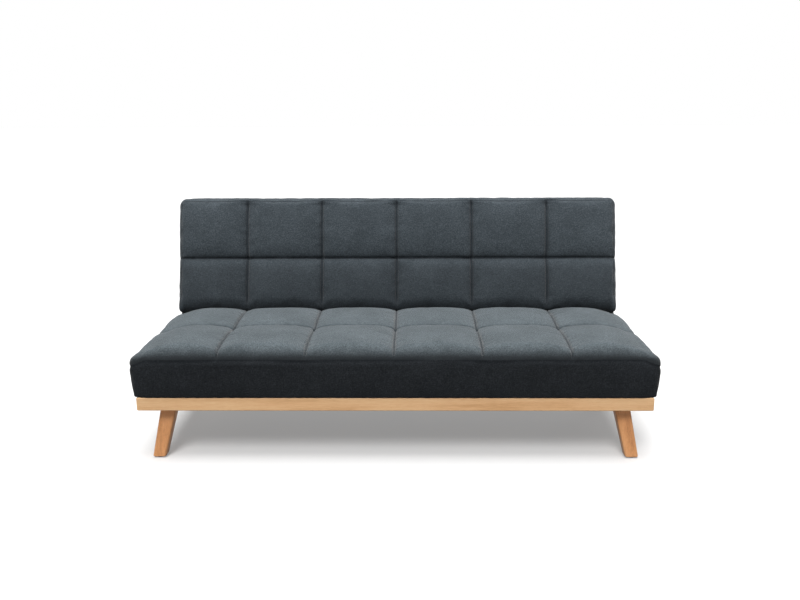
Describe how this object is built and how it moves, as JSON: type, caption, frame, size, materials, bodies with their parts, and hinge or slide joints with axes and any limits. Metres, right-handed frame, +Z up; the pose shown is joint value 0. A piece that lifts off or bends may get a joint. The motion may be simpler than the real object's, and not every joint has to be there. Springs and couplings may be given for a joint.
{
  "type": "click clack sofa bed",
  "caption": "Armless sofa bed with tufted seat and back cushions on a wooden rail and splayed legs; the back reclines on side hinges to lie flat behind the seat.",
  "frame": {"origin": "on the floor, under the middle of the sofa's outline with the back up", "axes": "+X along the seat to the sitter's left, as seen from the front to the right; the front faces -Y; +Z up"},
  "size_m": [1.8102, 0.7877, 0.8301],
  "materials": {
    "cover_fabric": "melange linen weave, blue grey",
    "back_cloth": "plain dark cloth",
    "dust_cloth": "black non-woven cloth",
    "felt": "pressed felt",
    "foam": "open-cell foam",
    "webbing": "woven elastic",
    "rail_wood": "light honey, satin",
    "leg_wood": "honey, satin",
    "frame_timber": "raw sawn softwood",
    "hinge_steel": "black, satin",
    "zinc_steel": "zinc plated",
    "spring_steel": "oiled",
    "glide_plastic": "black"
  },
  "bodies": {
    "sofa_base": {"cross_rails": "rail_wood", "dust_cover": "dust_cloth", "foot_glides": "glide_plastic", "frame_screws": "zinc_steel", "front_rail": "rail_wood", "left_front_leg": "leg_wood", "left_rear_leg": "leg_wood", "left_seat_end_member": "frame_timber", "left_seat_plate": "hinge_steel", "left_side_rail": "rail_wood", "leg_blocks": "frame_timber", "leg_bolts": "zinc_steel", "leg_plates": "zinc_steel", "leg_tee_nuts": "zinc_steel", "pawl_pins": "zinc_steel", "pivot_pins": "zinc_steel", "pivot_washers": "zinc_steel", "rear_rail": "rail_wood", "right_front_leg": "leg_wood", "right_rear_leg": "leg_wood", "right_seat_end_member": "frame_timber", "right_seat_plate": "hinge_steel", "right_side_rail": "rail_wood", "seat_cover": "cover_fabric", "seat_cross_members": "frame_timber", "seat_foam": "foam", "seat_front_member": "frame_timber", "seat_plate_bolts": "zinc_steel", "seat_rear_member": "frame_timber", "seat_springs": "spring_steel", "spring_clips": "zinc_steel", "spring_pad": "felt"},
    "backrest": {"back_cover": "cover_fabric", "back_cross_members": "frame_timber", "back_foam": "foam", "back_lower_member": "frame_timber", "back_panel": "back_cloth", "back_plate_bolts": "zinc_steel", "back_upper_member": "frame_timber", "back_webbing": "webbing", "left_back_plate": "hinge_steel", "left_back_side_member": "frame_timber", "right_back_plate": "hinge_steel", "right_back_side_member": "frame_timber"},
    "right_pawl": {"right_pawl": "hinge_steel"},
    "left_pawl": {"left_pawl": "hinge_steel"}
  },
  "joints": [
    {"name": "backrest_recline", "type": "hinge", "parent": "sofa_base", "child": "backrest", "pos_m": [0, 0.18915, 0.368], "axis": [-1, 0, 0], "range_deg": [-12, 74.5]},
    {"name": "right_pawl_lift", "type": "hinge", "parent": "sofa_base", "child": "right_pawl", "pos_m": [0.864, 0.15575, 0.33], "axis": [1, 0, 0], "range_deg": [0, 8], "stiffness_Nm_per_rad": 0.2, "springref_deg": -11.46},
    {"name": "left_pawl_lift", "type": "hinge", "parent": "sofa_base", "child": "left_pawl", "pos_m": [-0.864, 0.15575, 0.33], "axis": [1, 0, 0], "range_deg": [0, 8], "stiffness_Nm_per_rad": 0.2, "springref_deg": -11.46}
  ]
}
